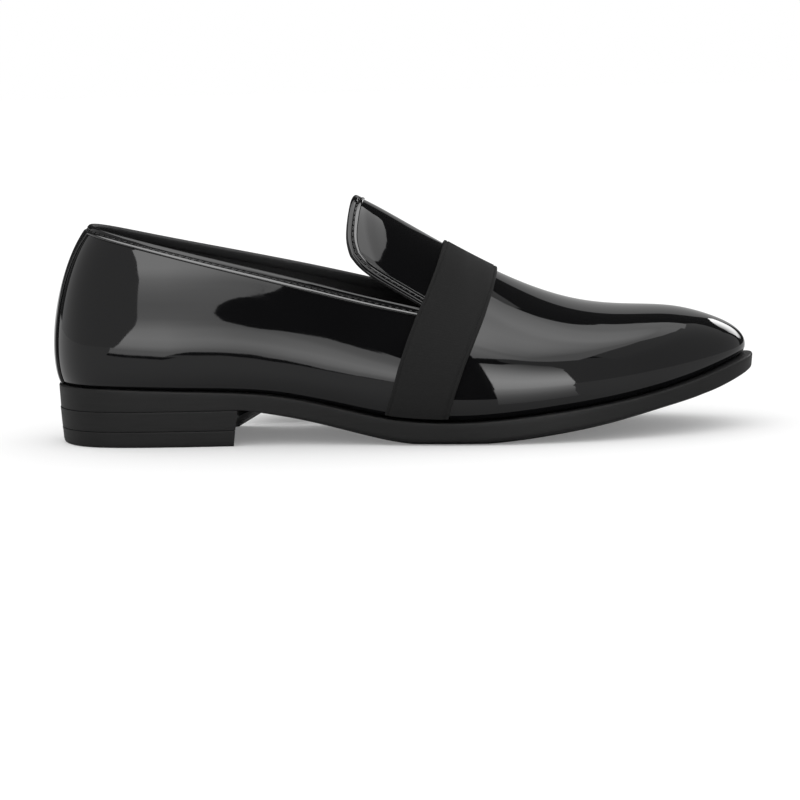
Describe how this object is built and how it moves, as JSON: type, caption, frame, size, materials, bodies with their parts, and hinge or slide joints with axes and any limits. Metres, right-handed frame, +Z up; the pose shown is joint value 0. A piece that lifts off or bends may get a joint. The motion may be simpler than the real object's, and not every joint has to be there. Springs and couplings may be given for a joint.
{
  "type": "slip-on dress shoe",
  "caption": "Black patent slip-on dress shoe for the right foot: hollow upper with a tall tongue, ribbed band across the vamp, bound collar, thin rubber sole and stacked heel.",
  "frame": {"origin": "on the floor, below the middle of the shoe's bounding box", "axes": "+X from heel to toe, +Y to the inner side of the foot, +Z up"},
  "size_m": [0.3026, 0.0994, 0.1037],
  "materials": {
    "patent_leather": "black patent, mirror gloss",
    "ribbon": "black ribbed ribbon, matte",
    "sole_rubber": "black rubber, satin",
    "lining_leather": "black lining leather, soft sheen"
  },
  "bodies": {
    "root": {"upper": "patent_leather", "back_strip": "patent_leather", "collar_binding": "patent_leather", "tongue_binding": "patent_leather", "vamp_band": "ribbon", "outsole": "sole_rubber", "heel_lift": "sole_rubber", "heel_top_piece": "sole_rubber", "insole": "lining_leather"}
  },
  "joints": []
}
